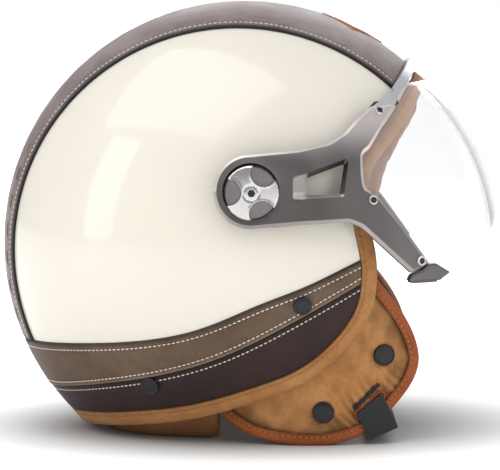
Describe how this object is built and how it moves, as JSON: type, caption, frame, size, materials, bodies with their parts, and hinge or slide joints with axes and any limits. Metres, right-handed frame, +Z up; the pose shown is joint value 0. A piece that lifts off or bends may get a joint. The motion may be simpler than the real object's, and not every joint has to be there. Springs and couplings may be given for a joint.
{
  "type": "open face motorcycle helmet",
  "caption": "Open face motorcycle helmet with leather trim, padded ear flaps, chin strap and a lifting clear bubble visor on side pivots.",
  "frame": {"origin": "middle of the footprint, on the surface the helmet stands on", "axes": "+X forward out of the face opening, +Y to the wearer's left, +Z up through the crown"},
  "size_m": [0.3202, 0.2552, 0.2735],
  "materials": {
    "shell_paint": "gloss cream lacquer",
    "strip_leather": "smooth matte, mauve brown",
    "black_piping": "satin",
    "taupe_leather": "smooth matte",
    "dark_leather": "smooth matte",
    "tan_suede": "soft napped",
    "rust_leather": "semi matte, stitched",
    "lining_leather": "soft wrinkled",
    "lining_cloth": "brushed knit",
    "foam": "expanded bead foam",
    "webbing": "woven",
    "black_metal": "gloss black",
    "bright_steel": "satin",
    "black_plastic": "moulded",
    "clear_visor": "clear gloss",
    "gunmetal": "satin gunmetal",
    "satin_silver": "satin",
    "knob_chrome": "satin chrome"
  },
  "bodies": {
    "helmet": {"outer_shell": "shell_paint", "center_strip": "strip_leather", "strip_piping": "black_piping", "upper_band": "taupe_leather", "lower_band": "dark_leather", "rim_binding": "tan_suede", "shell_snaps": "black_metal", "impact_liner": "foam", "comfort_liner": "lining_cloth", "face_roll": "lining_leather", "neck_roll": "lining_leather", "ear_flap_right": "tan_suede", "ear_flap_left": "tan_suede", "flap_edging_right": "rust_leather", "flap_edging_left": "rust_leather", "flap_snaps": "black_metal", "cheek_pad_right": "lining_cloth", "cheek_pad_left": "lining_cloth", "strap_right": "webbing", "strap_left": "webbing", "strap_posts": "bright_steel", "strap_rivets": "black_metal", "buckle_body": "bright_steel", "buckle_tongue": "bright_steel", "buckle_pin": "bright_steel", "buckle_spring": "bright_steel", "pivot_bushes": "bright_steel", "pivot_bases": "black_plastic", "pivot_washers": "black_plastic"},
    "visor": {"visor_shield": "clear_visor", "visor_arm_right": "gunmetal", "visor_arm_left": "gunmetal", "brow_bar": "satin_silver", "lift_tab": "gunmetal", "visor_screws": "bright_steel", "visor_nuts": "black_plastic"},
    "buckle_lever": {"buckle_lever": "bright_steel"},
    "knob_right": {"knob_right": "knob_chrome"},
    "knob_left": {"knob_left": "knob_chrome"}
  },
  "joints": [
    {"name": "visor_lift", "type": "hinge", "parent": "helmet", "child": "visor", "pos_m": [-0.00122, 0, 0.159], "axis": [0, -1, 0], "range_deg": [0, 55]},
    {"name": "knob_right_turn", "type": "hinge", "parent": "helmet", "child": "knob_right", "pos_m": [-0.00122, 0, 0.159], "axis": [0, -1, 0], "range_deg": [-180, 180]},
    {"name": "knob_left_turn", "type": "hinge", "parent": "helmet", "child": "knob_left", "pos_m": [-0.00122, 0, 0.159], "axis": [0, 1, 0], "range_deg": [-180, 180]},
    {"name": "buckle_lever_lift", "type": "hinge", "parent": "helmet", "child": "buckle_lever", "pos_m": [0.07913, 0.046, 0.01161], "axis": [-0.9336, 0, -0.3584], "range_deg": [0, 40], "stiffness_Nm_per_rad": 0.02, "springref_deg": -20.05}
  ]
}
